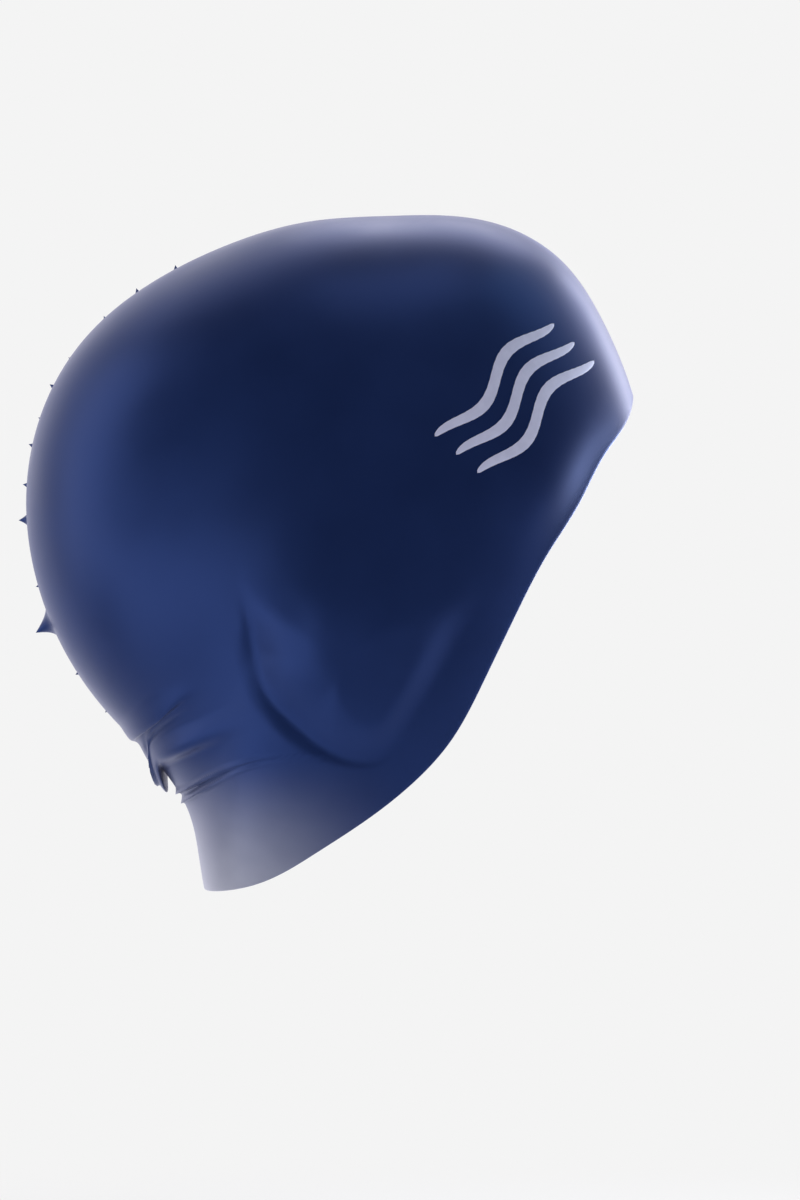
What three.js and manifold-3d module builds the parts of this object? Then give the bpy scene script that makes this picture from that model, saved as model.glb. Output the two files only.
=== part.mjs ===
// Swim cap moulded in one piece from silicone, in the shape that it has when worn.
// Millimetres, +X to the front, +Z up, +Y to the left side. The origin is the inside of the crown.
import * as THREE from "three";
import { mergeVertices } from "three/addons/utils/BufferGeometryUtils.js";
import Module from "manifold-3d";

// Overall sizes
const LENGTH = 196.6; // from the back to the front tip of the rim
const HEIGHT = 217.4; // from the crown to the nape edge
const HALF_BREADTH = 76; // from the middle plane to the widest place, without the ear pockets
const WALL = 1; // thickness of the silicone
const SEAT_ALONG = 0.615; // where the crown's seat lies, as a share of the length from the back

// Ear pockets, one on each side
const POCKET_RADIUS = 32.5;
const POCKET_DEPTH = 9; // how far a pocket stands out of the side behind
const POCKET_TILT = 0.55; // how much less it stands out in front
const POCKET_ALONG = 0.532;
const POCKET_DOWN = 0.664;
const POCKET_STRETCH = 0.08; // how much longer a pocket is along its long axis than across it
const POCKET_LONG_DEGREES = 150; // turns of a pocket are degrees above the front
const POCKET_TOP_REACH = 0.45; // how much further it fades out above
const POCKET_TOP_DEGREES = 70;
const POCKET_CORNER_POWER = 12; // rounds the corners between the oval and the straight step
const POCKET_SLOPE = 0.85; // share of the way to the middle that the slope takes
const STEP_REACH = 27.5; // from the pocket's middle to the foot of the straight step in front
const STEP_SLOPE = 0.4;
const STEP_DEGREES = -31;
const STEP_SPAN = { from: -0.2, to: 1 }; // cosines of the turn from the step over which it comes in
const CRESCENT_WIDTH = 6.8; // from the pocket's edge behind and below in to the foot of its slope
const CRESCENT_START = { from: 140, to: 172 }; // degrees over which the crescent comes in
const CRESCENT_END = { from: 215, to: 300 }; // degrees over which it goes out
const CRISPNESS = 2.4; // exponent of the slope above the crescent, steepest at its foot

// Tuck of the side behind the front tip, where the rim pulls in
const TUCK_DEPTH = 3;
const TUCK_WIDTH = 8;
const TUCK_PLACE = 0.84; // share of the rim's chord from the nape
const TUCK_SPREAD = 0.1; // share of the rim's chord

// Small puckers on the middle line of the back
const PUCKER_RISE = 6.4; // height of the largest one
const PUCKER_SPREAD = 6.4; // half its width along the middle line
const PUCKER_WIDENING = 1.5; // how much wider a pucker is across the back than along it

// Pleats that hang round the nape like swags
const PLEAT_RISE = 4.8; // how far the proudest pleat stands out
const PLEAT_DROOP = 10; // how far its crest hangs down
const PLEAT_HALF_WIDTH = 4.5; // half the width of its root
const PLEAT_THINNEST = 0.4; // its root's width at the ends, as a share
const PLEAT_END_STRENGTH = 0.05;
const PLEAT_SECTION = { // places of its corners as shares of the droop, the height and the root's width
  upper: { down: 0.35, out: 0.6 },
  lip: { out: 0.8 },
  under: { down: 0.45, out: 0.2 },
  foot: { down: 0.8 },
};

// Mesh density and precision
const WELD = 0.02; // corners closer together than this become one
const SAME_CORNER = 0.0001;
const HALVINGS = 40; // steps of a search for a crossing
const NORMAL_STEP = 0.05; // distance over which the slope of the smooth form is taken
const TANGENT_STEP = 0.02; // share of a pleat's reach over which its direction is taken
const LARGEST_LEAN = 0.9 * Math.PI;
const COLUMNS = 80; // meridians round the cap, an even number
const ROWS = 29; // rings from the pole to the rim
const MERIDIANS = [ // share of the meridians of one side, and their turn in degrees from the back
  { share: 0.0, turn: 0 },
  { share: 0.24, turn: 36 },
  { share: 0.64, turn: 85 },
  { share: 1.0, turn: 180 },
];
const RINGS = [ // share of the rings, and their share of the way from the pole to the rim
  { share: 0.0, way: 0.0 },
  { share: 0.42, way: 0.68 },
  { share: 1.0, way: 1.0 },
];
const PUCKER_SIDES = 7;
const PLEAT_STEPS = 18;

// Side outline as shares of the length from the back and of the height from the crown.
// The rows run from the front tip over the crown to the nape. The last seven close the form below the rim.
const OUTLINE = [
  { along: 1.0, down: 0.269 },
  { along: 0.949, down: 0.155 },
  { along: 0.881, down: 0.066 },
  { along: 0.764, down: 0.009 },
  { along: 0.615, down: 0.0 },
  { along: 0.466, down: 0.009 },
  { along: 0.326, down: 0.046 },
  { along: 0.202, down: 0.103 },
  { along: 0.093, down: 0.187 },
  { along: 0.023, down: 0.3 },
  { along: 0.0, down: 0.426 },
  { along: 0.018, down: 0.546 },
  { along: 0.073, down: 0.664 },
  { along: 0.157, down: 0.762 },
  { along: 0.252, down: 0.86 },
  { along: 0.278, down: 0.922 },
  { along: 0.293, down: 1.004 },
  { along: 0.337, down: 1.117 },
  { along: 0.483, down: 1.176 },
  { along: 0.648, down: 1.132 },
  { along: 0.813, down: 0.982 },
  { along: 0.929, down: 0.773 },
  { along: 0.998, down: 0.556 },
  { along: 1.021, down: 0.392 },
];
const CENTRE = { along: 0.499, down: 0.392 };

// Breadth falls off smoothly from the widest place, by these shares of the length and height
const WIDEST = { along: 0.4, down: 0.3 };
const TAPER = { along: 1.3, down: 1.28 };
const ROUNDNESS = { side: 2.8, front: 2.2 }; // exponents of the rounded form, 2 would be an ellipsoid

// The rim seen from the side, as shares of its chord from the nape corner to the front tip
const NAPE_CORNER = { along: 0.293, down: 1.0 };
const FRONT_TIP = { along: 1.0, down: 0.269 };
const RIM = [
  { place: 0.0, bulge: 0.0 },
  { place: 0.07, bulge: 0.0515 },
  { place: 0.164, bulge: 0.0873 },
  { place: 0.261, bulge: 0.1133 },
  { place: 0.347, bulge: 0.1277 },
  { place: 0.421, bulge: 0.1283 },
  { place: 0.524, bulge: 0.1057 },
  { place: 0.623, bulge: 0.0785 },
  { place: 0.725, bulge: 0.0548 },
  { place: 0.812, bulge: 0.042 },
  { place: 0.893, bulge: 0.0235 },
  { place: 0.975, bulge: 0.0115 },
  { place: 1.0, bulge: 0.0 },
];

// Puckers: turn in degrees above the front, size as a share of the largest, hook as a tilt in degrees
const PUCKERS = [
  { turn: 105, size: 0.15, hook: 0 },
  { turn: 126.5, size: 0.35, hook: 25 },
  { turn: 136, size: 0.35, hook: 20 },
  { turn: 144.5, size: 0.25, hook: 15 },
  { turn: 155, size: 0.2, hook: 0 },
  { turn: 161.5, size: 0.32, hook: 10 },
  { turn: 168, size: 0.2, hook: 0 },
  { turn: 173.5, size: 0.3, hook: 10 },
  { turn: 181, size: 0.3, hook: 5 },
  { turn: 187.5, size: 0.5, hook: 0 },
  { turn: 200, size: 0.2, hook: 0 },
  { turn: 207, size: 1.0, hook: -12 },
  { turn: 217.5, size: 0.2, hook: 0 },
  { turn: 226, size: 0.15, hook: 0 },
];

// Pleats: places down the height in the middle and at the ends, reach to each side as a share of the
// half breadth, and rise, droop and width as shares of the proudest pleat's
const PLEATS = [
  { middle: 0.79, end: 0.73, reach: 0.66, rise: 0.45, droop: 0.12, width: 0.5 },
  { middle: 0.81, end: 0.735, reach: 0.78, rise: 1.0, droop: 1.0, width: 1.0 },
  { middle: 0.862, end: 0.765, reach: 0.84, rise: 0.35, droop: 0.15, width: 0.45 },
];

// Places in the side view
function xAt(along) {
  return (along - SEAT_ALONG) * LENGTH;
}

function zAt(down) {
  return WALL - down * HEIGHT;
}

function alongAt(x) {
  return x / LENGTH + SEAT_ALONG;
}

function downAt(z) {
  return (WALL - z) / HEIGHT;
}

// Smooth value between the rows of a table that is sorted by place
function between(places, values, place) {
  let next = 1;
  while (next < places.length - 1 && place > places[next]) {
    next += 1;
  }
  const slopeAt = (row) => {
    const low = Math.max(row - 1, 0);
    const high = Math.min(row + 1, places.length - 1);
    return (values[high] - values[low]) / (places[high] - places[low]);
  };
  const gap = places[next] - places[next - 1];
  const share = THREE.MathUtils.clamp((place - places[next - 1]) / gap, 0, 1);
  const rise = values[next] - values[next - 1];
  const start = slopeAt(next - 1) * gap - rise;
  const end = slopeAt(next) * gap - rise;
  const bend = share * (1 - share) * (start * (1 - share) - end * share);
  return values[next - 1] + rise * share + bend;
}

// The place where a rising value crosses zero
function crossing(value, low, high) {
  let [from, to] = [low, high];
  for (let step = 0; step < HALVINGS; step += 1) {
    const middle = (from + to) / 2;
    if (value(middle) < 0) {
      from = middle;
    } else {
      to = middle;
    }
  }
  return (from + to) / 2;
}

const centre = new THREE.Vector3(xAt(CENTRE.along), 0, zAt(CENTRE.down));
const outlineTurns = [];
const outlineReaches = [];

// Outline rows as turn and reach from the centre, with a lap on each side so that it closes smoothly
function readOutline() {
  const rows = OUTLINE.map((row) => {
    const x = xAt(row.along) - centre.x;
    const z = zAt(row.down) - centre.z;
    const turn = THREE.MathUtils.euclideanModulo(Math.atan2(z, x), 2 * Math.PI);
    return { turn, reach: Math.hypot(x, z) };
  });
  rows.sort((a, b) => a.turn - b.turn);
  for (const lap of [-1, 0, 1]) {
    for (const row of rows) {
      outlineTurns.push(row.turn + lap * 2 * Math.PI);
      outlineReaches.push(row.reach);
    }
  }
}

function outlineReach(turn) {
  return between(outlineTurns, outlineReaches, THREE.MathUtils.euclideanModulo(turn, 2 * Math.PI));
}

function halfBreadth(x, z) {
  const forward = (alongAt(x) - WIDEST.along) / TAPER.along;
  const lower = (downAt(z) - WIDEST.down) / TAPER.down;
  return HALF_BREADTH * Math.exp(-forward * forward - lower * lower);
}

// Below zero inside the smooth form, above zero outside it
function fullness(point) {
  const x = point.x - centre.x;
  const z = point.z - centre.z;
  const side = Math.hypot(x, z) / outlineReach(Math.atan2(z, x));
  const front = Math.abs(point.y) / halfBreadth(point.x, point.z);
  return side ** ROUNDNESS.side + front ** ROUNDNESS.front - 1;
}

function outwardNormal(point) {
  const slope = new THREE.Vector3();
  for (const axis of ["x", "y", "z"]) {
    const ahead = point.clone();
    const behind = point.clone();
    ahead[axis] += NORMAL_STEP;
    behind[axis] -= NORMAL_STEP;
    slope[axis] = fullness(ahead) - fullness(behind);
  }
  return slope.normalize();
}

// Where a ray from the centre leaves the smooth form
function hitAlong(direction) {
  const pointAt = (reach) => centre.clone().addScaledVector(direction, reach);
  return pointAt(crossing((reach) => fullness(pointAt(reach)), 0, LENGTH + HEIGHT));
}

// The point of the back at a height and a distance from the middle plane
function backPoint(y, z) {
  const pointAt = (reach) => new THREE.Vector3(centre.x - reach, y, z);
  return pointAt(crossing((reach) => fullness(pointAt(reach)), 0, LENGTH));
}

// The rim's chord, from the nape corner to the front tip, and the direction across it away from the cap
const napeCorner = new THREE.Vector3(xAt(NAPE_CORNER.along), 0, zAt(NAPE_CORNER.down));
const frontTip = new THREE.Vector3(xAt(FRONT_TIP.along), 0, zAt(FRONT_TIP.down));
const chordLength = napeCorner.distanceTo(frontTip);
const chordAxis = frontTip.clone().sub(napeCorner).normalize();
const acrossAxis = new THREE.Vector3(chordAxis.z, 0, -chordAxis.x);
const poleAxis = acrossAxis.clone().negate();
const rimPlaces = RIM.map((row) => row.place);
const rimBulges = RIM.map((row) => row.bulge);

// How far a point lies beyond the rim, seen from the side; below zero on the cap
function beyondRim(point) {
  const fromNape = point.clone().sub(napeCorner);
  const place = THREE.MathUtils.clamp(fromNape.dot(chordAxis) / chordLength, 0, 1);
  return fromNape.dot(acrossAxis) - between(rimPlaces, rimBulges, place) * chordLength;
}

function turnFrom(turn, degrees) {
  return turn - THREE.MathUtils.degToRad(degrees);
}

// The pocket's edge is oval behind and below, reaches far up above, and is straight in front
function pocketRadius(turn) {
  const long = Math.cos(2 * turnFrom(turn, POCKET_LONG_DEGREES));
  const above = THREE.MathUtils.smoothstep(Math.cos(turnFrom(turn, POCKET_TOP_DEGREES)), 0, 1);
  const oval = POCKET_RADIUS * (1 + POCKET_STRETCH * long) * (1 + POCKET_TOP_REACH * above);
  const facing = Math.cos(turnFrom(turn, STEP_DEGREES));
  if (facing <= 0) {
    return oval;
  }
  const straight = STEP_REACH / facing;
  const power = POCKET_CORNER_POWER;
  return (oval ** -power + straight ** -power) ** (-1 / power);
}

// How far the ear pocket stands out at a place in the side view. It is a dome with a flat top, crisp
// behind and below, that fades out above and steps down to a straight foot in front.
function pocketRise(x, z) {
  const forward = x - xAt(POCKET_ALONG);
  const up = z - zAt(POCKET_DOWN);
  const turn = Math.atan2(up, forward);
  const distance = Math.hypot(forward, up);
  const degrees = THREE.MathUtils.euclideanModulo(THREE.MathUtils.radToDeg(turn), 360);
  const goneOut = THREE.MathUtils.smoothstep(degrees, CRESCENT_END.from, CRESCENT_END.to);
  const crisp = THREE.MathUtils.smoothstep(degrees, CRESCENT_START.from, CRESCENT_START.to) * (1 - goneOut);
  const foot = pocketRadius(turn) - CRESCENT_WIDTH * crisp;
  const facing = Math.cos(turnFrom(turn, STEP_DEGREES));
  const stepped = THREE.MathUtils.smoothstep(facing, STEP_SPAN.from, STEP_SPAN.to);
  const slopeLength = foot * THREE.MathUtils.lerp(POCKET_SLOPE, STEP_SLOPE, stepped);
  const climb = THREE.MathUtils.clamp((foot - distance) / slopeLength, 0, 1);
  const soft = THREE.MathUtils.smoothstep(climb, 0, 1);
  const round = 1 - (1 - climb) ** CRISPNESS;
  const towardsStep = (distance * facing) / POCKET_RADIUS;
  const lower = POCKET_TILT * THREE.MathUtils.smoothstep(towardsStep, -1, 1);
  return POCKET_DEPTH * (1 - lower) * THREE.MathUtils.lerp(soft, round, crisp);
}

function tuckDepth(point) {
  const inside = beyondRim(point) / TUCK_WIDTH;
  const place = point.clone().sub(napeCorner).dot(chordAxis) / chordLength;
  const off = (place - TUCK_PLACE) / TUCK_SPREAD;
  return TUCK_DEPTH * Math.exp(-inside * inside - off * off);
}

// The cap's outer surface on a ray that leans away from the pole axis
function skinPoint(turn, lean) {
  const direction = poleAxis.clone().multiplyScalar(Math.cos(lean));
  direction.addScaledVector(chordAxis, Math.sin(lean) * Math.cos(turn));
  direction.y += Math.sin(lean) * Math.sin(turn);
  const point = hitAlong(direction);
  const outward = pocketRise(point.x, point.z) - tuckDepth(point);
  point.y += Math.sign(Math.round(point.y)) * outward;
  return point;
}

// Turns of the meridians, closer together at the back and the pockets than at the front
function columnTurn(column) {
  const half = COLUMNS / 2;
  const share = Math.abs(column - half) / half;
  const turns = MERIDIANS.map((row) => row.turn);
  const fromBack = between(MERIDIANS.map((row) => row.share), turns, share);
  return Math.PI + Math.sign(column - half) * THREE.MathUtils.degToRad(fromBack);
}

// Rings lie closer together towards the rim
function ringWay(row) {
  const ways = RINGS.map((ring) => ring.way);
  return between(RINGS.map((ring) => ring.share), ways, row / ROWS);
}

function outerGrid() {
  const rings = [[skinPoint(0, 0)]];
  const rimLeans = [];
  for (let column = 0; column < COLUMNS; column += 1) {
    const turn = columnTurn(column);
    rimLeans.push(crossing((lean) => beyondRim(skinPoint(turn, lean)), 0, LARGEST_LEAN));
  }
  for (let row = 1; row <= ROWS; row += 1) {
    const lean = (column) => rimLeans[column] * ringWay(row);
    rings.push(rimLeans.map((_, column) => skinPoint(columnTurn(column), lean(column))));
  }
  return rings;
}

// Faces of a grid of rings round a pole
function gridFaces(firstIndex) {
  const faces = [];
  const indexAt = (row, column) => firstIndex + 1 + (row - 1) * COLUMNS + (column % COLUMNS);
  for (let column = 0; column < COLUMNS; column += 1) {
    faces.push([firstIndex, indexAt(1, column), indexAt(1, column + 1)]);
    for (let row = 1; row < ROWS; row += 1) {
      const corners = [indexAt(row, column), indexAt(row + 1, column)];
      const others = [indexAt(row + 1, column + 1), indexAt(row, column + 1)];
      faces.push([corners[0], corners[1], others[0]], [corners[0], others[0], others[1]]);
    }
  }
  return faces;
}

function faceNormals(points, faces) {
  const normals = points.map(() => new THREE.Vector3());
  for (const [a, b, c] of faces) {
    const first = points[b].clone().sub(points[a]);
    const second = points[c].clone().sub(points[a]);
    const normal = first.cross(second);
    for (const corner of [a, b, c]) {
      normals[corner].add(normal);
    }
  }
  return normals.map((normal) => normal.normalize());
}

// The moulded wall: the outer surface, the same surface one wall inwards, and the cut edge between them
function wallGeometry() {
  const outer = outerGrid().flat();
  const faces = gridFaces(0);
  const normals = faceNormals(outer, faces);
  const inner = outer.map((point, index) => point.clone().addScaledVector(normals[index], -WALL));
  const innerFaces = gridFaces(outer.length).map(([a, b, c]) => [a, c, b]);
  const lastOuter = outer.length - COLUMNS;
  const edgeFaces = [];
  for (let column = 0; column < COLUMNS; column += 1) {
    const here = lastOuter + column;
    const beside = lastOuter + ((column + 1) % COLUMNS);
    edgeFaces.push([here, here + outer.length, beside]);
    edgeFaces.push([beside, here + outer.length, beside + outer.length]);
  }
  return closedGeometry([...outer, ...inner], [...faces, ...innerFaces, ...edgeFaces]);
}

function closedGeometry(points, faces) {
  const geometry = new THREE.BufferGeometry();
  const positions = points.flatMap((point) => point.toArray());
  geometry.setAttribute("position", new THREE.Float32BufferAttribute(positions, 3));
  geometry.setIndex(faces.flat());
  return geometry;
}

// A pucker is a small horn with hollow flanks, its root sunk into the wall
function puckerGeometry(pucker) {
  const rise = PUCKER_RISE * pucker.size;
  const spread = PUCKER_SPREAD * pucker.size;
  const root = -WALL / 2;
  const profile = [
    new THREE.Vector2(0, root),
    new THREE.Vector2(spread, root),
    new THREE.Vector2(spread * 0.45, rise * 0.25),
    new THREE.Vector2(spread * 0.18, rise * 0.62),
    new THREE.Vector2(0, rise),
  ];
  const geometry = new THREE.LatheGeometry(profile, PUCKER_SIDES);
  geometry.scale(1, 1, PUCKER_WIDENING);
  const turn = THREE.MathUtils.degToRad(pucker.turn);
  const place = hitAlong(new THREE.Vector3(Math.cos(turn), 0, Math.sin(turn)));
  const normal = outwardNormal(place);
  const hook = THREE.MathUtils.degToRad(pucker.hook);
  geometry.rotateX(Math.PI / 2);
  geometry.rotateY(Math.atan2(normal.x, normal.z) + hook);
  geometry.translate(place.x, place.y, place.z);
  return geometry;
}

// One cross-section of a pleat: places down the surface and out of it. It sinks into the wall as it
// loses its strength.
function pleatSection(pleat, strength) {
  const root = -WALL / 2;
  const height = (PLEAT_RISE * pleat.rise - root) * strength;
  const droop = PLEAT_DROOP * pleat.droop * strength;
  const width = PLEAT_HALF_WIDTH * pleat.width * THREE.MathUtils.lerp(PLEAT_THINNEST, 1, strength);
  const { upper, lip, under, foot } = PLEAT_SECTION;
  return [
    { down: -width, out: root },
    { down: droop * upper.down, out: root + height * upper.out },
    { down: droop, out: root + height },
    { down: droop + WALL, out: root + height * lip.out },
    { down: droop * under.down + WALL, out: root + height * under.out },
    { down: width * foot.down, out: root },
  ];
}

// A pleat follows a swag round the back, lowest and proudest in the middle, and dies out at its ends
function pleatGeometry(pleat) {
  const points = [];
  const faces = [];
  const reach = HALF_BREADTH * pleat.reach;
  const swagPoint = (share) => {
    const down = THREE.MathUtils.lerp(pleat.middle, pleat.end, share * share);
    return backPoint(share * reach, zAt(down));
  };
  for (let step = 0; step <= PLEAT_STEPS; step += 1) {
    const share = (2 * step) / PLEAT_STEPS - 1;
    const place = swagPoint(share);
    const tangent = swagPoint(share + TANGENT_STEP).sub(swagPoint(share - TANGENT_STEP)).normalize();
    const normal = outwardNormal(place);
    const downward = tangent.clone().cross(normal).normalize();
    if (downward.z > 0) {
      downward.negate();
    }
    const strength = Math.max(1 - share * share, PLEAT_END_STRENGTH);
    for (const corner of pleatSection(pleat, strength)) {
      points.push(place.clone().addScaledVector(downward, corner.down).addScaledVector(normal, corner.out));
    }
  }
  const corners = points.length / (PLEAT_STEPS + 1);
  for (let step = 0; step < PLEAT_STEPS; step += 1) {
    for (let corner = 0; corner < corners; corner += 1) {
      const here = step * corners + corner;
      const beside = step * corners + ((corner + 1) % corners);
      faces.push([here, here + corners, beside], [beside, here + corners, beside + corners]);
    }
  }
  const last = points.length - corners;
  for (let corner = 1; corner < corners - 1; corner += 1) {
    faces.push([0, corner, corner + 1], [last, last + corner + 1, last + corner]);
  }
  return closedGeometry(points, faces);
}

const wasm = await Module();
wasm.setup();

// A closed geometry as a solid, turned the right way out
function solidFrom(geometry) {
  geometry.deleteAttribute("normal");
  geometry.deleteAttribute("uv");
  const merged = mergeVertices(geometry, SAME_CORNER);
  const corners = Array.from(merged.index.array);
  const triVerts = [];
  for (let index = 0; index < corners.length; index += 3) {
    const [a, b, c] = corners.slice(index, index + 3);
    if (a !== b && b !== c && c !== a) {
      triVerts.push(a, b, c);
    }
  }
  const mesh = new wasm.Mesh({
    numProp: 3,
    vertProperties: new Float32Array(merged.attributes.position.array),
    triVerts: new Uint32Array(triVerts),
  });
  return new wasm.Manifold(mesh);
}

// Joins corners that lie closer together than the weld distance, so that seams leave no slivers
function weldedMesh(mesh) {
  const corner = (index) => new THREE.Vector3().fromArray(mesh.vertProperties, index * 3);
  const keptAs = Array.from({ length: mesh.vertProperties.length / 3 }, (_, index) => index);
  const kept = (index) => {
    let at = index;
    while (keptAs[at] !== at) {
      at = keptAs[at];
    }
    return at;
  };
  const faces = [];
  for (let index = 0; index < mesh.triVerts.length; index += 3) {
    faces.push(Array.from(mesh.triVerts.slice(index, index + 3)));
  }
  for (const face of faces) {
    face.forEach((from, side) => {
      const to = face[(side + 1) % 3];
      if (corner(from).distanceTo(corner(to)) < WELD) {
        keptAs[Math.max(kept(from), kept(to))] = Math.min(kept(from), kept(to));
      }
    });
  }
  const welded = faces.map((face) => face.map(kept));
  return welded.filter(([a, b, c]) => a !== b && b !== c && c !== a);
}

function geometryFrom(solid) {
  const mesh = solid.getMesh();
  const geometry = new THREE.BufferGeometry();
  geometry.setAttribute("position", new THREE.BufferAttribute(mesh.vertProperties, 3));
  geometry.setIndex(weldedMesh(mesh).flat());
  geometry.computeVertexNormals();
  return geometry;
}

// The whole cap is one moulding: the wall with its puckers and pleats
function capShell() {
  let solid = solidFrom(wallGeometry());
  for (const pucker of PUCKERS) {
    solid = solid.add(solidFrom(puckerGeometry(pucker)));
  }
  for (const pleat of PLEATS) {
    solid = solid.add(solidFrom(pleatGeometry(pleat)));
  }
  const silicone = new THREE.MeshStandardMaterial({ color: 0x16295c, roughness: 0.42, metalness: 0.15 });
  const shell = new THREE.Mesh(geometryFrom(solid), silicone);
  shell.name = "cap_shell";
  return shell;
}

readOutline();
const swimCap = new THREE.Group();
swimCap.add(capShell());

export default swimCap;
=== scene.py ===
"""Swim cap of pearl silicone, moulded in one piece, with three printed waves on its right side.

Metres, +X to the front, +Y to the left, +Z up. The origin is the inside of the crown.
"""
import collections
import math

import bpy
import numpy as np
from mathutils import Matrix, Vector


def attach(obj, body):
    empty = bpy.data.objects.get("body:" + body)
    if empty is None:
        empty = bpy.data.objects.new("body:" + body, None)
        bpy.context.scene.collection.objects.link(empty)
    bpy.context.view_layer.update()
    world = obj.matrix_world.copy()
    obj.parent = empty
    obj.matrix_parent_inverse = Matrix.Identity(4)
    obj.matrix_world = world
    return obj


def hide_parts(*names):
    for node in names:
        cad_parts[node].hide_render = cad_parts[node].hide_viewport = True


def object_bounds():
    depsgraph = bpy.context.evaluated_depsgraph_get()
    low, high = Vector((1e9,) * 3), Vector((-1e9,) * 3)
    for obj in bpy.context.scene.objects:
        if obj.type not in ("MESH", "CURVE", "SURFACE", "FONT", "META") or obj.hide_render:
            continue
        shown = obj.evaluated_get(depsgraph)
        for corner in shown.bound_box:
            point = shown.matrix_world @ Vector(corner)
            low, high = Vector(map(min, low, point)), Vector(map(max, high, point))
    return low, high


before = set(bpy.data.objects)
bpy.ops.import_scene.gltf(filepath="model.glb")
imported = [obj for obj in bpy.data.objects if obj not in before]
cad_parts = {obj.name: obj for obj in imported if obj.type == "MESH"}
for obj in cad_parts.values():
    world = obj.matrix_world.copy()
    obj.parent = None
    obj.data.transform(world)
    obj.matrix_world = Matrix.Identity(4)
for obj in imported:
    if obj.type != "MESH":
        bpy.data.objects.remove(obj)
frame_low, frame_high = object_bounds()

# Overall sizes
LENGTH = 0.1966  # from the back to the front tip of the rim
HEIGHT = 0.2174  # from the crown to the nape edge
HALF_BREADTH = 0.076  # from the middle plane to the widest place, without the ear pockets
WALL = 0.001
SEAT_ALONG = 0.615  # where the crown's seat lies, as a share of the length from the back

# Ear pockets. Turns are angles above the front, seen from the side.
POCKET_RADIUS = 0.0325
POCKET_DEPTH = 0.0078  # how far a pocket stands out of the side behind
POCKET_TILT = 0.75  # how much less it stands out in front
POCKET_ALONG = 0.532
POCKET_DOWN = 0.664
POCKET_STRETCH = 0.08
POCKET_LONG_TURN = math.radians(150)
POCKET_TOP_REACH = 0.8  # how much further the dome fades out above
POCKET_TOP_TURN = math.radians(70)
POCKET_CORNER_POWER = 12  # rounds the corners between the oval and the straight step
STEP_REACH = 0.0275  # from the pocket's middle to the foot of the straight step in front
STEP_SLOPE = 0.4  # share of the way to the middle that its slope takes
STEP_TURN = math.radians(-31)
STEP_SPAN = (-0.2, 1.0)  # cosines of the turn from the step over which it comes in
CREASE_WIDTH = 0.0068  # from the crescent's outer edge in to the crease
CREASE_DEPTH = 0.0027
CREASE_ROUNDING = 0.0014
CREASE_HOLLOW = 1.5  # exponent of the valley's outer flank
CREASE_START = (math.radians(140), math.radians(175))  # turns over which the crease comes in
CREASE_END = (math.radians(215), math.radians(305))  # turns over which it goes out
CRISP_TURN = math.radians(215)
CRISP_SPAN = (0.0, 0.8)  # cosines of the turn from there over which the dome's foot gets crisp
CRISPNESS = 1.5  # steepness of the crisp slope at its foot, as a multiple of its mean

# Tuck of the side behind the front tip
TUCK_DEPTH = 0.003
TUCK_WIDTH = 0.008
TUCK_PLACE = 0.84
TUCK_SPREAD = 0.1
SIDE_BLEND = 0.01  # how fast the middle plane's two sides part

# Puckers on the middle line of the back
PUCKER_RISE = 0.0064
PUCKER_SPREAD = 0.0064
PUCKER_WIDENING = 1.5
PUCKER_PINCH = 1.8  # above 1 the flanks are hollow
PUCKER_SINK = 0.0001  # how deep its foot lies in the skin

# Printed waves on the right side
PRINT_ALONG = 0.797
PRINT_DOWN = 0.284
PRINT_TILT = math.radians(50)
PRINT_LENGTH = 0.052
PRINT_PITCH = 0.0085  # from one wave to the next
PRINT_SWING = 0.0026  # height of a wave's swing
PRINT_HALF_WIDTH = 0.0019
PRINT_INK = 0.00008  # thickness of the ink
PRINT_SINK = 0.2  # how deep the ink's edge sinks into the skin, as a share of its thickness
PRINT_WAVES = 3
PRINT_SWINGS = 1.5
PRINT_STEPS = 97  # points along a wave
PRINT_STRANDS = 9  # points across it

# Mesh density
COLUMNS = 320
OUTER_ROWS = 210
INNER_ROWS = 60
EDGE_STEPS = 6
BISECTIONS = 34
TINY = 0.000001  # keeps a division by nothing away
NORMAL_STEP = 0.00005  # distance over which the slope of the smooth form is taken
LARGEST_LEAN = 0.9 * math.pi  # away from the pole, where the search for the rim ends
MERIDIANS = ((0.0, 0), (0.34, 34), (0.66, 82), (1.0, 180))  # share of a side, degrees from the back
RINGS = ((0.0, 0.0), (0.34, 0.7), (0.94, 0.955), (1.0, 1.0))  # share of the rings, way to the rim
PUCKER_RINGS = 16
PUCKER_SIDES = 28

# Side outline as shares of the length from the back and of the height from the crown, from the front
# tip over the crown to the nape. The last seven rows close the form below the rim.
OUTLINE = (
    (1.0, 0.269), (0.949, 0.155), (0.881, 0.066), (0.764, 0.009), (0.615, 0.0), (0.466, 0.009),
    (0.326, 0.046), (0.202, 0.103), (0.093, 0.187), (0.023, 0.3), (0.0, 0.426), (0.018, 0.546),
    (0.073, 0.664), (0.157, 0.762), (0.252, 0.86), (0.278, 0.922), (0.293, 1.004),
    (0.337, 1.117), (0.483, 1.176), (0.648, 1.132), (0.813, 0.982), (0.929, 0.773),
    (0.998, 0.556), (1.021, 0.392),
)
CENTRE = (0.499, 0.392)

# Breadth falls off from the widest place, by these shares of the length and height
WIDEST = (0.4, 0.3)
TAPER = (1.3, 1.28)
ROUNDNESS_SIDE = 2.8
ROUNDNESS_FRONT = 2.2

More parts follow.
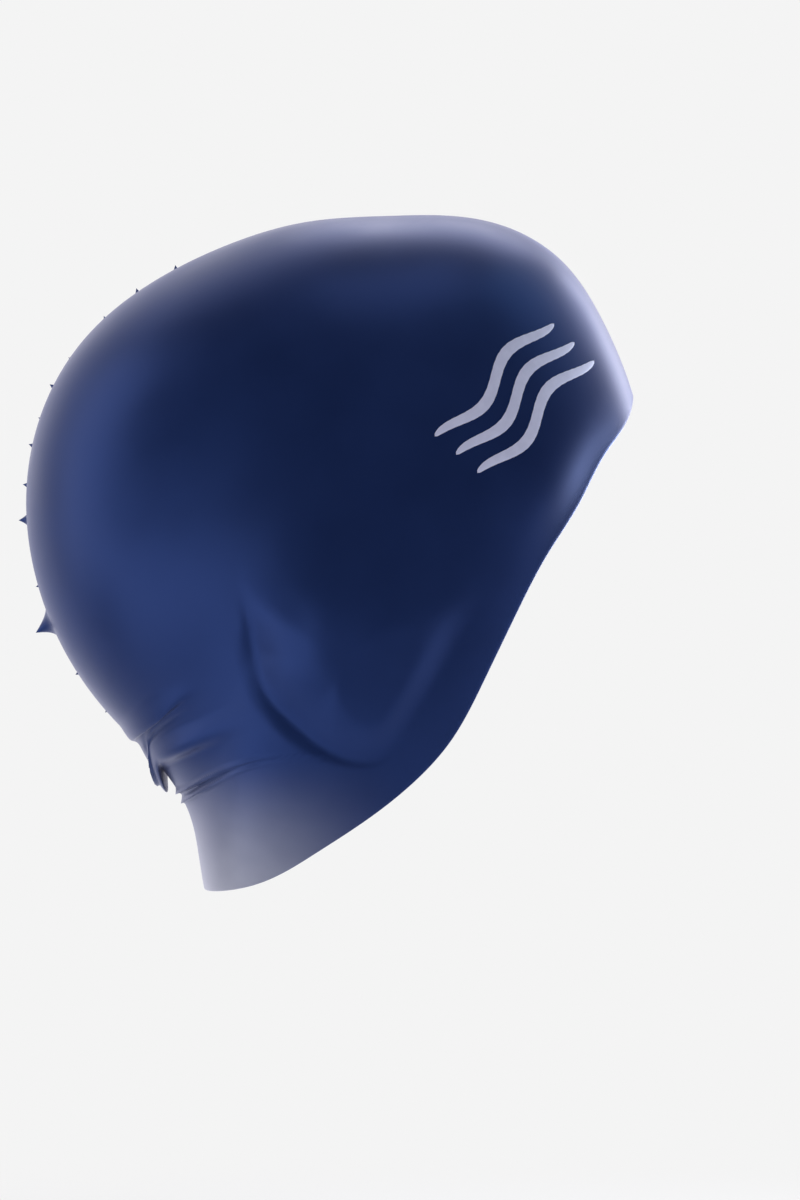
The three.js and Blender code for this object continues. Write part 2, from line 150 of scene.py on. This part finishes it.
# The rim seen from the side: place and bulge as shares of its chord, from the nape to the front tip
NAPE_CORNER = (0.293, 1.0)
FRONT_TIP = (1.0, 0.269)
RIM = (
    (0.0, 0.0), (0.07, 0.0515), (0.164, 0.0873), (0.261, 0.1133), (0.347, 0.1277), (0.421, 0.1283),
    (0.524, 0.1057), (0.623, 0.0785), (0.725, 0.0548), (0.812, 0.042), (0.893, 0.0235),
    (0.975, 0.0115), (1.0, 0.0),
)

# Puckers: degrees above the front, size as a share of the largest, and the degrees by which the tip
# leans towards the crown
Pucker = collections.namedtuple("Pucker", "turn size hook")
PUCKERS = (
    Pucker(105, 0.15, 0), Pucker(126.5, 0.35, 25), Pucker(136, 0.35, 20), Pucker(144.5, 0.25, 15),
    Pucker(155, 0.2, 0), Pucker(161.5, 0.32, 10), Pucker(168, 0.2, 0), Pucker(173.5, 0.3, 10),
    Pucker(181, 0.3, 5), Pucker(187.5, 0.5, 0), Pucker(200, 0.2, 0), Pucker(207, 1.0, -12),
    Pucker(217.5, 0.2, 0), Pucker(226, 0.15, 0),
)

# Folds of the nape. A fold runs from the middle of the back to both sides: its places down the height
# in the middle and at its ends, its reach as a share of the half breadth, the share of the way at which
# it is strongest, and its strength in the middle. Rise, droop and half width are metres; a groove's
# rise is below zero. Bluntness 1 gives a sharp crest, 2 a round one and 4 a swollen one.
Fold = collections.namedtuple("Fold", "middle end reach peak start rise droop half_width bluntness")
FOLDS = (
    Fold(0.772, 0.688, 0.74, 0.70, 0.30, 0.0024, 0.0036, 0.0040, 2.0),
    Fold(0.793, 0.712, 0.72, 0.70, 0.30, -0.0008, 0.0, 0.0012, 2.0),
    Fold(0.799, 0.720, 0.60, 0.20, 0.80, 0.0016, 0.0008, 0.0013, 1.2),
    Fold(0.806, 0.725, 0.84, 0.60, 0.15, 0.0032, 0.0014, 0.0056, 2.0),
    Fold(0.806, 0.775, 0.36, 0.05, 1.00, 0.0040, 0.0092, 0.0056, 5.0),
    Fold(0.855, 0.774, 0.90, 0.50, 0.90, 0.0014, 0.0008, 0.0013, 1.2),
    Fold(0.862, 0.781, 0.88, 0.50, 0.60, -0.0008, 0.0, 0.0014, 1.3),
    Fold(0.869, 0.788, 0.86, 0.50, 0.90, 0.0013, 0.0008, 0.0013, 1.2),
)

LEAST_STEEPNESS = 0.4  # of the wall under a fold, as a sine of its angle to the level

# Painted light: a pale haze at the lower nape, lighter towards the bottom edge. Heights and lengths
# over which it comes in
PAINTED_HAZE_HEIGHTS = (-0.169, -0.234)
PAINTED_HAZE_LENGTHS = (0.010, -0.065)

# Camera and photograph
PHOTO_HEIGHT = 1200
METRES_PER_PIXEL = 0.000325
LENS = 100
SENSOR = 36
VIEW_CENTRE = (0, 0, -0.1232)
FLOOR_BELOW = 0.235  # from the nape edge down to the floor
FLOOR_FADE = (0.4, 1.0)  # distances between which the floor fades out
FLOOR_SIDES = 96
BACKDROP_COLOUR = (0.905, 0.905, 0.905, 1)
FRONT_TO_BACK_GLOW = (0.225, 1.4)  # strengths on the camera's side and behind the cap
GLOW_REACH = (0.0, 1.0)  # from sideways to straight away from the camera
GLOW_COLOUR = (0.93, 0.92, 1.0, 1)

# Soft lights that face the cap. Places and sizes are metres, power is watts.
Light = collections.namedtuple("Light", "name place size power colour")
LIGHTS = (
    Light("left", (-1.0, -0.05, 0.1), (0.6, 1.2), 4.5, (0.95, 0.96, 1.0)),
    Light("above_left", (-0.45, 0.30, 0.80), (0.6, 0.6), 0.8, (0.95, 0.96, 1.0)),
    Light("above", (0.15, -0.25, 0.75), (0.5, 0.5), 1.0, (0.95, 0.97, 1.0)),
    Light("behind_above", (0.2, 0.7, 0.8), (0.8, 0.5), 3.5, (0.96, 0.94, 1.0)),
    Light("right_above", (0.75, 0.05, 0.65), (0.6, 0.6), 1.4, (0.6, 0.9, 1.0)),
    Light("temple", (0.80, 0.50, -0.25), (0.3, 0.3), 10.0, (0.8, 0.88, 1.0)),
    Light("right_behind", (0.75, 0.85, 0.1), (0.4, 1.0), 6, (0.95, 0.94, 1.0)),
    Light("low_right", (0.62, -0.20, -0.38), (0.25, 0.25), 0.5, (0.93, 0.93, 1.0)),
    Light("low_left", (-0.36, -0.40, -0.46), (0.8, 0.5), 2.3, (0.95, 0.96, 1.0)),
)


def x_at(along):
    return (along - SEAT_ALONG) * LENGTH


def z_at(down):
    return WALL - down * HEIGHT


def along_at(x):
    return x / LENGTH + SEAT_ALONG


def down_at(z):
    return (WALL - z) / HEIGHT


def smooth_step(value, low, high):
    share = np.clip((value - low) / (high - low), 0, 1)
    return share * share * (3 - 2 * share)


def smooth_curve(places, values):
    """Cubic through the rows of a table, whose bend changes evenly from row to row."""
    places = np.array(places, float)
    values = np.array(values, float)
    gaps = np.diff(places)
    slopes = np.diff(values) / gaps
    system = np.eye(len(places))
    turns = np.zeros(len(places))
    for row in range(1, len(places) - 1):
        system[row, row - 1] = gaps[row - 1]
        system[row, row] = 2 * (gaps[row - 1] + gaps[row])
        system[row, row + 1] = gaps[row]
        turns[row] = 6 * (slopes[row] - slopes[row - 1])
    bends = np.linalg.solve(system, turns)

    def value_at(place):
        row = np.clip(np.searchsorted(places, place) - 1, 0, len(gaps) - 1)
        share = np.clip((place - places[row]) / gaps[row], 0, 1)
        rest = 1 - share
        straight = values[row] * rest + values[row + 1] * share
        bent = bends[row] * (rest**3 - rest) + bends[row + 1] * (share**3 - share)
        return straight + gaps[row] ** 2 / 6 * bent

    return value_at


def crossing(value_at, low, high):
    """Where a rising value crosses zero, for a whole array at once."""
    for _ in range(BISECTIONS):
        middle = (low + high) / 2
        below = value_at(middle) < 0
        low = np.where(below, middle, low)
        high = np.where(below, high, middle)
    return (low + high) / 2


def outline_curve():
    """Reach of the side outline by its turn, with a lap on each side so that it closes smoothly."""
    x = np.array([x_at(along) for along, _ in OUTLINE]) - centre[0]
    z = np.array([z_at(down) for _, down in OUTLINE]) - centre[2]
    turns = np.mod(np.arctan2(z, x), math.tau)
    order = np.argsort(turns)
    laps = np.concatenate([turns[order] + lap * math.tau for lap in (-1, 0, 1)])
    return smooth_curve(laps, np.tile(np.hypot(x, z)[order], 3))


def rim_frame():
    """The rim's nape corner, its chord's length, and the directions along and across the chord."""
    nape = np.array((x_at(NAPE_CORNER[0]), 0, z_at(NAPE_CORNER[1])))
    tip = np.array((x_at(FRONT_TIP[0]), 0, z_at(FRONT_TIP[1])))
    length = np.linalg.norm(tip - nape)
    chord = (tip - nape) / length
    return nape, length, chord, np.array((chord[2], 0, -chord[0]))


centre = np.array((x_at(CENTRE[0]), 0, z_at(CENTRE[1])))
outline_reach = outline_curve()
nape_corner, chord_length, chord_axis, across_axis = rim_frame()
side_axis = np.array((0, 1, 0))
rim_bulge = smooth_curve(*zip(*RIM))


def half_breadth(x, z):
    forward = (along_at(x) - WIDEST[0]) / TAPER[0]
    lower = (down_at(z) - WIDEST[1]) / TAPER[1]
    return HALF_BREADTH * np.exp(-(forward**2) - lower**2)


def side_share(x, z):
    """How far out in the side outline a place lies, 0 at the centre and 1 on the outline."""
    turn = np.mod(np.arctan2(z - centre[2], x - centre[0]), math.tau)
    return np.hypot(x - centre[0], z - centre[2]) / outline_reach(turn)


def fullness(points):
    """Below zero inside the smooth form, above zero outside it."""
    x, y, z = np.moveaxis(points, -1, 0)
    front = np.abs(y) / half_breadth(x, z)
    return side_share(x, z) ** ROUNDNESS_SIDE + front**ROUNDNESS_FRONT - 1


def outward_normals(points):
    steps = NORMAL_STEP * np.eye(3)
    slopes = [fullness(points + step) - fullness(points - step) for step in steps]
    slopes = np.stack(slopes, axis=-1)
    return slopes / np.linalg.norm(slopes, axis=-1, keepdims=True)


def hits_along(directions):
    """Where rays from the centre leave the smooth form."""
    def fullness_at(reach):
        return fullness(centre + directions * reach[..., None])

    none = np.zeros(directions.shape[:-1])
    reach = crossing(fullness_at, none, none + LENGTH + HEIGHT)
    return centre + directions * reach[..., None]


def beyond_rim(points):
    """How far points lie beyond the rim, seen from the side; below zero on the cap."""
    place = np.clip((points - nape_corner) @ chord_axis / chord_length, 0, 1)
    return (points - nape_corner) @ across_axis - rim_bulge(place) * chord_length


def pocket_radius(turn):
    """The pocket's edge: oval behind and below, far up above, and straight in front."""
    oval = POCKET_RADIUS * (1 + POCKET_STRETCH * np.cos(2 * (turn - POCKET_LONG_TURN)))
    above = smooth_step(np.cos(turn - POCKET_TOP_TURN), 0, 1)
    facing_step = np.maximum(np.cos(turn - STEP_TURN), 0) / STEP_REACH
    inverse = (oval * (1 + POCKET_TOP_REACH * above)) ** -POCKET_CORNER_POWER
    return (inverse + facing_step**POCKET_CORNER_POWER) ** (-1 / POCKET_CORNER_POWER)


def gentle_slope(climb):
    """From 0 to 1, level and unbent at both ends."""
    return climb**3 * (climb * (6 * climb - 15) + 10)


def crisp_slope(climb):
    """From 0 to 1, rising at once, level and unbent at its upper end. Straight below 0."""
    above = np.maximum(climb, 0)
    bent = 1 - (1 - above) ** 3 * (1 + (3 - CRISPNESS) * above)
    return bent + CRISPNESS * np.minimum(climb, 0)


def pocket_rise(x, z):
    """Ear pocket: a dome that fades out above, slopes down to a straight foot in front, and ends
    behind and below in a creased valley, the crescent."""
    forward = x - x_at(POCKET_ALONG)
    up = z - z_at(POCKET_DOWN)
    turn = np.mod(np.arctan2(up, forward), math.tau)
    distance = np.hypot(forward, up)
    facing_step = np.cos(turn - STEP_TURN)
    creased = smooth_step(turn, *CREASE_START) * (1 - smooth_step(turn, *CREASE_END))
    width = CREASE_WIDTH * creased
    depth = CREASE_DEPTH * creased
    foot = pocket_radius(turn) - width
    into_valley = np.clip((foot + width - distance) / np.maximum(width, TINY), 0, 1)
    flank = -depth * into_valley**CREASE_HOLLOW
    stepped = smooth_step(facing_step, *STEP_SPAN)
    climb = np.minimum((foot - distance) / foot / (1 + (STEP_SLOPE - 1) * stepped), 1)
    gentle = gentle_slope(np.maximum(climb, 0))
    crispness = smooth_step(np.cos(turn - CRISP_TURN), *CRISP_SPAN)
    lower = POCKET_TILT * smooth_step(distance * facing_step / POCKET_RADIUS, -1, 1)
    height = POCKET_DEPTH * (1 - lower) + depth
    dome = height * (gentle + (crisp_slope(climb) - gentle) * crispness) - depth
    return (flank + dome + np.hypot(flank - dome, CREASE_ROUNDING * creased)) / 2


def tuck_depth(points):
    place = (points - nape_corner) @ chord_axis / chord_length
    inside = beyond_rim(points) / TUCK_WIDTH
    return TUCK_DEPTH * np.exp(-(inside**2) - ((place - TUCK_PLACE) / TUCK_SPREAD) ** 2)


def side_shift(points):
    """How far the pockets and the tucks move the sides outwards."""
    return pocket_rise(points[..., 0], points[..., 2]) - tuck_depth(points)


def skin_points(turns, leans):
    """Points of the smooth form on rays that lean away from the pole."""
    towards = chord_axis * np.cos(turns)[..., None] + side_axis * np.sin(turns)[..., None]
    directions = np.sin(leans)[..., None] * towards - np.cos(leans)[..., None] * across_axis
    return hits_along(directions)


def with_sides(points):
    shaped = points.copy()
    shaped[..., 1] += np.tanh(points[..., 1] / SIDE_BLEND) * side_shift(points)
    return shaped


def with_folds(points):
    """Draws the nape's folds out of the smooth form. A drooping crest hangs down over itself."""
    normals = outward_normals(points)
    downward = np.stack((normals[..., 2], 0 * normals[..., 1], -normals[..., 0]), axis=-1)
    downward *= -np.sign(downward[..., 2:3])
    downward /= np.linalg.norm(downward, axis=-1, keepdims=True)
    steepness = np.maximum(-downward[..., 2], LEAST_STEEPNESS)
    at_back = points[..., 0] < centre[0]
    moved = np.zeros_like(points)
    for fold in FOLDS:
        share = np.clip(np.abs(points[..., 1]) / (HALF_BREADTH * fold.reach), 0, 1)
        grown = fold.start + (1 - fold.start) * smooth_step(share, 0, fold.peak)
        strength = grown * (1 - smooth_step(share, fold.peak, 1)) * at_back
        line = z_at(fold.middle + (fold.end - fold.middle) * share**2)
        off = (line - points[..., 2]) / steepness / fold.half_width
        swell = (1 - np.clip(np.abs(off), 0, 1) ** fold.bluntness) ** 2 * strength
        moved += (fold.rise * swell)[..., None] * normals
        moved += (fold.droop * swell)[..., None] * downward
    return points + moved


def column_turns():
    """Turns of the meridians, closer together at the back and the pockets than at the front."""
    steps = np.arange(COLUMNS) - COLUMNS // 2
    from_back = smooth_curve(*zip(*MERIDIANS))(np.abs(steps) / (COLUMNS // 2))
    return math.pi + np.sign(steps) * np.radians(from_back)


def rim_leans(turns):
    """How far each meridian leans away from the pole where it reaches the rim's round edge."""
    def beyond_at(leans):
        return beyond_rim(skin_points(turns, leans)) + WALL / 2

    none = np.zeros_like(turns)
    return crossing(beyond_at, none, none + LARGEST_LEAN)


def grid_normals(grid):
    """Outward normals of a closed grid of rings."""
    down = np.gradient(grid, axis=0)
    round_about = np.roll(grid, -1, axis=1) - np.roll(grid, 1, axis=1)
    normals = np.cross(round_about, down)
    normals /= np.linalg.norm(normals, axis=-1, keepdims=True)
    outward = np.sum(normals * (grid - centre), axis=-1, keepdims=True)
    return normals * np.sign(outward)


def ring_faces(first_rows, columns):
    """Quads between neighbouring rings, from the indices of each ring's first point."""
    here = np.arange(columns)
    beside = (here + 1) % columns
    quads = [
        np.stack((first + here, first + beside, after + beside, after + here), axis=-1)
        for first, after in zip(first_rows[:-1], first_rows[1:])
    ]
    return np.concatenate(quads).tolist()


def fan_faces(pole, first, columns):
    return [(pole, first + (column + 1) % columns, first + column) for column in range(columns)]


def rings_on_skin(turns, leans, ways):
    """Rings at these shares of the way from the pole to the rim."""
    return skin_points(*np.broadcast_arrays(turns[None], ways[:, None] * leans))


def rim_edge(skin, normals):
    """Half-round edge of the wall, from outside to inside, beyond the last ring of the skin."""
    normal = normals[-1]
    beyond = skin[-1] - skin[-2]
    beyond -= np.sum(beyond * normal, axis=-1, keepdims=True) * normal
    beyond /= np.linalg.norm(beyond, axis=-1, keepdims=True)
    middle = skin[-1] - normal * WALL / 2
    bends = np.arange(1, EDGE_STEPS) * math.pi / EDGE_STEPS
    return [middle + WALL / 2 * (math.cos(bend) * normal + math.sin(bend) * beyond) for bend in bends]


def shell_mesh():
    """Outer surface, half-round rim edge and inner surface as one closed skin."""
    turns = column_turns()
    leans = rim_leans(turns)
    outer_ways = smooth_curve(*zip(*RINGS))(np.arange(1, OUTER_ROWS + 1) / OUTER_ROWS)
    inner_ways = np.arange(1, INNER_ROWS + 1) / INNER_ROWS
    outer = with_folds(with_sides(rings_on_skin(turns, leans, outer_ways)))
    unfolded = with_sides(rings_on_skin(turns, leans, inner_ways))
    normals = grid_normals(unfolded)
    inner = unfolded - WALL * normals
    pole = skin_points(np.zeros(1), np.zeros(1))
    rings = [*outer, *rim_edge(unfolded, normals), *inner[::-1]]
    points = np.concatenate((pole, pole - WALL * outward_normals(pole), *rings))
    first_rows = [2 + COLUMNS * row for row in range(len(rings))]
    faces = ring_faces(first_rows, COLUMNS)
    faces += fan_faces(0, first_rows[0], COLUMNS)
    faces += [face[::-1] for face in fan_faces(1, first_rows[-1], COLUMNS)]
    return points, [tuple(reversed(face)) for face in faces]


def pucker_mesh(pucker):
    """A small horn with hollow flanks, drawn out of the surface on the middle line."""
    turn = math.radians(pucker.turn)
    hook = math.radians(pucker.hook)
    place = hits_along(np.array(((math.cos(turn), 0, math.sin(turn)),)))[0]
    normal = outward_normals(place)
    along = np.array((normal[2], 0, -normal[0]))
    rise = PUCKER_RISE * pucker.size
    rise_axis = math.cos(hook) * normal + math.sin(hook) * along
    shares = np.linspace(0, 1, PUCKER_RINGS + 1)[1:, None]
    bearings = np.arange(PUCKER_SIDES) * math.tau / PUCKER_SIDES
    radius = PUCKER_SPREAD * pucker.size * shares**PUCKER_PINCH
    offsets = (radius * np.cos(bearings))[..., None] * along
    offsets = offsets + (radius * PUCKER_WIDENING * np.sin(bearings))[..., None] * side_axis
    directions = place + offsets - centre
    directions /= np.linalg.norm(directions, axis=-1, keepdims=True)
    height = rise * (1 + np.cos(math.pi * shares)) / 2 - PUCKER_SINK * shares
    rings = hits_along(directions) + (height + 0 * bearings)[..., None] * rise_axis
    tip = place + rise * rise_axis
    points = np.concatenate((tip[None], *rings))
    first_rows = [1 + PUCKER_SIDES * ring for ring in range(PUCKER_RINGS)]
    faces = ring_faces(first_rows, PUCKER_SIDES) + fan_faces(0, 1, PUCKER_SIDES)
    return points, faces


def joined(meshes):
    points = []
    faces = []
    for mesh_points, mesh_faces in meshes:
        first = len(points)
        points += mesh_points.tolist()
        faces += [tuple(first + corner for corner in face) for face in mesh_faces]
    return points, faces


def new_piece(name, points, faces, material):
    mesh = bpy.data.meshes.new(name)
    mesh.from_pydata(points, [], faces)
    mesh.materials.append(material)
    mesh.shade_smooth()
    piece = bpy.data.objects.new(name, mesh)
    bpy.context.scene.collection.objects.link(piece)
    return piece


def print_mesh(wave):
    """One wave of ink, tapered to both ends, lying on the right side's skin."""
    shares = np.linspace(-1, 1, PRINT_STEPS)[:, None]
    widths = np.linspace(-1, 1, PRINT_STRANDS)
    taper = np.sqrt(np.maximum(1 - shares**4, 0))
    along = shares * PRINT_LENGTH / 2 + 0 * widths
    swing = PRINT_SWING * np.sin(shares * math.pi * PRINT_SWINGS)
    middle = (wave - (PRINT_WAVES - 1) / 2) * PRINT_PITCH
    across = middle + swing + widths * PRINT_HALF_WIDTH * taper
    x = x_at(PRINT_ALONG) + along * math.cos(PRINT_TILT) - across * math.sin(PRINT_TILT)
    z = z_at(PRINT_DOWN) + along * math.sin(PRINT_TILT) + across * math.cos(PRINT_TILT)
    flat = (1 - side_share(x, z) ** ROUNDNESS_SIDE) ** (1 / ROUNDNESS_FRONT)
    points = np.stack((x, -half_breadth(x, z) * flat, z), axis=-1)
    ink = PRINT_INK * ((1 + PRINT_SINK) * (1 - widths**4) - PRINT_SINK)
    points = with_sides(points) + ink[:, None] * outward_normals(points)
    rows, columns = points.shape[:2]
    faces = [
        (row * columns + column, row * columns + column + 1,
         (row + 1) * columns + column + 1, (row + 1) * columns + column)
        for row in range(rows - 1)
        for column in range(columns - 1)
    ]
    return points.reshape(-1, 3), faces


def add_socket(group, name, direction, kind, value=None):
    socket = group.interface.new_socket(name, in_out=direction, socket_type=kind)
    if value is not None:
        socket.default_value = value


def add_node(tree, kind, **settings):
    node = tree.nodes.new(kind)
    for name, value in settings.items():
        setattr(node, name, value)
    return node


def grain_group():
    """Cloudy patches of pigment and a fine moulded grain, for the silicone and the ink alike."""
    group = bpy.data.node_groups.new("moulded_grain", "ShaderNodeTree")
    add_socket(group, "Patch Scale", "INPUT", "NodeSocketFloat", 30.0)
    add_socket(group, "Grain Scale", "INPUT", "NodeSocketFloat", 1500.0)
    add_socket(group, "Patches", "OUTPUT", "NodeSocketFloat")
    add_socket(group, "Grain", "OUTPUT", "NodeSocketFloat")
    inputs = add_node(group, "NodeGroupInput")
    outputs = add_node(group, "NodeGroupOutput")
    place = add_node(group, "ShaderNodeTexCoord")
    patches = add_node(group, "ShaderNodeTexNoise")
    patches.inputs["Detail"].default_value = 3
    patches.inputs["Roughness"].default_value = 0.45
    grain = add_node(group, "ShaderNodeTexNoise")
    grain.inputs["Detail"].default_value = 2
    for noise, scale, output in ((patches, "Patch Scale", "Patches"), (grain, "Grain Scale", "Grain")):
        group.links.new(place.outputs["Object"], noise.inputs["Vector"])
        group.links.new(inputs.outputs[scale], noise.inputs["Scale"])
        group.links.new(noise.outputs["Fac"], outputs.inputs[output])
    return group


def new_material(name):
    material = bpy.data.materials.new(name)
    material.use_nodes = True
    tree = material.node_tree
    return material, tree, tree.nodes["Principled BSDF"]


def place_grain(tree, group, patch_scale, grain_scale):
    grain = add_node(tree, "ShaderNodeGroup", node_tree=group)
    grain.inputs["Patch Scale"].default_value = patch_scale
    grain.inputs["Grain Scale"].default_value = grain_scale
    return grain


def colour_between(tree, factor, low, high, start=0.35, end=0.65):
    ramp = add_node(tree, "ShaderNodeValToRGB")
    ramp.color_ramp.elements[0].position = start
    ramp.color_ramp.elements[1].position = end
    ramp.color_ramp.elements[0].color = (*low, 1)
    ramp.color_ramp.elements[1].color = (*high, 1)
    tree.links.new(factor, ramp.inputs["Fac"])
    return ramp.outputs["Color"]


def value_between(tree, factor, low, high, reach=(0.3, 0.7)):
    """Runs evenly from low to high while the factor passes through its reach."""
    scaled = add_node(tree, "ShaderNodeMapRange", interpolation_type="SMOOTHSTEP")
    scaled.inputs["From Min"].default_value = reach[0]
    scaled.inputs["From Max"].default_value = reach[1]
    scaled.inputs["To Min"].default_value = low
    scaled.inputs["To Max"].default_value = high
    tree.links.new(factor, scaled.inputs["Value"])
    return scaled.outputs["Result"]


def add_bump(tree, shader, height, strength, distance):
    bump = add_node(tree, "ShaderNodeBump")
    bump.inputs["Strength"].default_value = strength
    bump.inputs["Distance"].default_value = distance
    tree.links.new(height, bump.inputs["Height"])
    tree.links.new(bump.outputs["Normal"], shader.inputs["Normal"])


def multiplied(tree, first, second):
    product = add_node(tree, "ShaderNodeMath", operation="MULTIPLY")
    tree.links.new(first, product.inputs[0])
    tree.links.new(second, product.inputs[1])
    return product.outputs["Value"]


def covered(tree, mask, colour, cover):
    """The colour, with a cover laid over it where the mask is 1."""
    mix = add_node(tree, "ShaderNodeMixRGB")
    mix.inputs["Color2"].default_value = (*cover, 1)
    tree.links.new(mask, mix.inputs["Fac"])
    tree.links.new(colour, mix.inputs["Color1"])
    return mix.outputs["Color"]


def painted_nape_haze(tree, cloud):
    """Mask of a painted pale haze of light over the lower nape, lighter towards the bottom, with a
    cloudy edge.
    """
    place = add_node(tree, "ShaderNodeTexCoord")
    parts = add_node(tree, "ShaderNodeSeparateXYZ")
    tree.links.new(place.outputs["Object"], parts.inputs["Vector"])
    lower = value_between(tree, parts.outputs["Z"], 0, 1, reach=PAINTED_HAZE_HEIGHTS)
    behind = value_between(tree, parts.outputs["X"], 0, 1, reach=PAINTED_HAZE_LENGTHS)
    both = multiplied(tree, lower, behind)
    return multiplied(tree, both, value_between(tree, cloud, 0.75, 1.0))


def silicone_material(group):
    """Satin navy silicone with a pearl pigment, and a powdery sheen at grazing angles."""
    material, tree, shader = new_material("pearl_silicone")
    grain = place_grain(tree, group, 28, 1400)
    navy = colour_between(tree, grain.outputs["Patches"], (0.011, 0.029, 0.118), (0.014, 0.035, 0.138))
    # Painted light: a pale grey haze laid over the navy at the lower back of the nape
    painted_haze = painted_nape_haze(tree, grain.outputs["Patches"])
    tree.links.new(covered(tree, painted_haze, navy, (0.55, 0.55, 0.60)), shader.inputs["Base Color"])
    roughness = value_between(tree, grain.outputs["Patches"], 0.36, 0.44)
    tree.links.new(roughness, shader.inputs["Roughness"])
    add_bump(tree, shader, grain.outputs["Grain"], 0.12, 0.0001)
    shader.inputs["Metallic"].default_value = 0.5
    shader.inputs["Specular IOR Level"].default_value = 0.2
    shader.inputs["IOR"].default_value = 1.45
    shader.inputs["Sheen Weight"].default_value = 0.2
    shader.inputs["Sheen Roughness"].default_value = 0.35
    shader.inputs["Sheen Tint"].default_value = (0.75, 0.72, 0.95, 1)
    return material


def ink_material(group):
    """Pale lilac-grey printing ink, a little worn."""
    material, tree, shader = new_material("pale_ink")
    grain = place_grain(tree, group, 300, 3000)
    colour = colour_between(tree, grain.outputs["Patches"], (0.70, 0.71, 0.92), (0.75, 0.76, 0.97))
    tree.links.new(colour, shader.inputs["Base Color"])
    roughness = value_between(tree, grain.outputs["Patches"], 0.5, 0.62)
    tree.links.new(roughness, shader.inputs["Roughness"])
    add_bump(tree, shader, grain.outputs["Grain"], 0.15, 0.00005)
    return material


def floor_material(group):
    """Pale floor that fades into the backdrop with distance."""
    material, tree, shader = new_material("pale_floor")
    grain = place_grain(tree, group, 4, 200)
    colour = colour_between(tree, grain.outputs["Patches"], (0.80, 0.80, 0.81), (0.84, 0.84, 0.85))
    tree.links.new(colour, shader.inputs["Base Color"])
    shader.inputs["Roughness"].default_value = 0.7
    place = add_node(tree, "ShaderNodeTexCoord")
    distance = add_node(tree, "ShaderNodeVectorMath", operation="LENGTH")
    tree.links.new(place.outputs["Object"], distance.inputs[0])
    fade = value_between(tree, distance.outputs["Value"], 1, 0, reach=FLOOR_FADE)
    tree.links.new(fade, shader.inputs["Alpha"])
    return material


def new_floor(material):
    """Round pale floor."""
    level = frame_low.z - FLOOR_BELOW
    bearings = np.arange(FLOOR_SIDES) * math.tau / FLOOR_SIDES
    rings = [
        np.stack((radius * np.cos(bearings), radius * np.sin(bearings), 0 * bearings + level), axis=-1)
        for radius in FLOOR_FADE
    ]
    points = np.concatenate((np.array(((0, 0, level),)), *rings))
    faces = ring_faces([1, 1 + FLOOR_SIDES], FLOOR_SIDES) + fan_faces(0, 1, FLOOR_SIDES)
    floor = new_piece("floor", points.tolist(), faces, material)


def new_camera():
    camera = bpy.data.objects.new("camera", bpy.data.cameras.new("camera"))
    camera.data.lens = LENS
    camera.data.sensor_width = SENSOR
    distance = LENS / SENSOR * PHOTO_HEIGHT * METRES_PER_PIXEL
    camera.location = (VIEW_CENTRE[0], -distance, VIEW_CENTRE[2])
    camera.rotation_euler = (math.pi / 2, 0, 0)
    camera.data.clip_start = 0.01
    bpy.context.scene.collection.objects.link(camera)
    bpy.context.scene.camera = camera


def new_light(light):
    lamp_data = bpy.data.lights.new(light.name, "AREA")
    lamp_data.shape = "RECTANGLE"
    lamp_data.size, lamp_data.size_y = light.size
    lamp_data.energy = light.power
    lamp_data.color = light.colour
    lamp = bpy.data.objects.new(light.name, lamp_data)
    lamp.location = light.place
    aim = lamp.location.copy()
    aim.z -= VIEW_CENTRE[2]
    lamp.rotation_euler = aim.to_track_quat("Z", "Y").to_euler()
    lamp.visible_camera = False
    bpy.context.scene.collection.objects.link(lamp)


def new_world():
    """White studio: the camera sees it plain, and its light comes mostly from behind the cap."""
    scene = bpy.context.scene
    scene.world = bpy.data.worlds.new("studio")
    scene.world.use_nodes = True
    tree = scene.world.node_tree
    shown = tree.nodes["Background"]
    shown.inputs["Color"].default_value = BACKDROP_COLOUR
    glow = add_node(tree, "ShaderNodeBackground")
    glow.inputs["Color"].default_value = GLOW_COLOUR
    direction = add_node(tree, "ShaderNodeTexCoord")
    parts = add_node(tree, "ShaderNodeSeparateXYZ")
    tree.links.new(direction.outputs["Generated"], parts.inputs["Vector"])
    strength = value_between(tree, parts.outputs["Y"], *FRONT_TO_BACK_GLOW, reach=GLOW_REACH)
    tree.links.new(strength, glow.inputs["Strength"])
    path = add_node(tree, "ShaderNodeLightPath")
    mix = add_node(tree, "ShaderNodeMixShader")
    tree.links.new(path.outputs["Is Camera Ray"], mix.inputs["Fac"])
    tree.links.new(glow.outputs["Background"], mix.inputs[1])
    tree.links.new(shown.outputs["Background"], mix.inputs[2])
    tree.links.new(mix.outputs["Shader"], tree.nodes["World Output"].inputs["Surface"])
    scene.view_settings.view_transform = "Standard"


grain = grain_group()
silicone = silicone_material(grain)
ink = ink_material(grain)

new_camera()
cap = new_piece("cap", *joined([shell_mesh(), *(pucker_mesh(pucker) for pucker in PUCKERS)]), silicone)
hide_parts("cap_shell")
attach(cap, "root")

waves = new_piece("printed_waves", *joined([print_mesh(wave) for wave in range(PRINT_WAVES)]), ink)
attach(waves, "root")

new_floor(floor_material(grain))
new_world()
for light in LIGHTS:
    new_light(light)
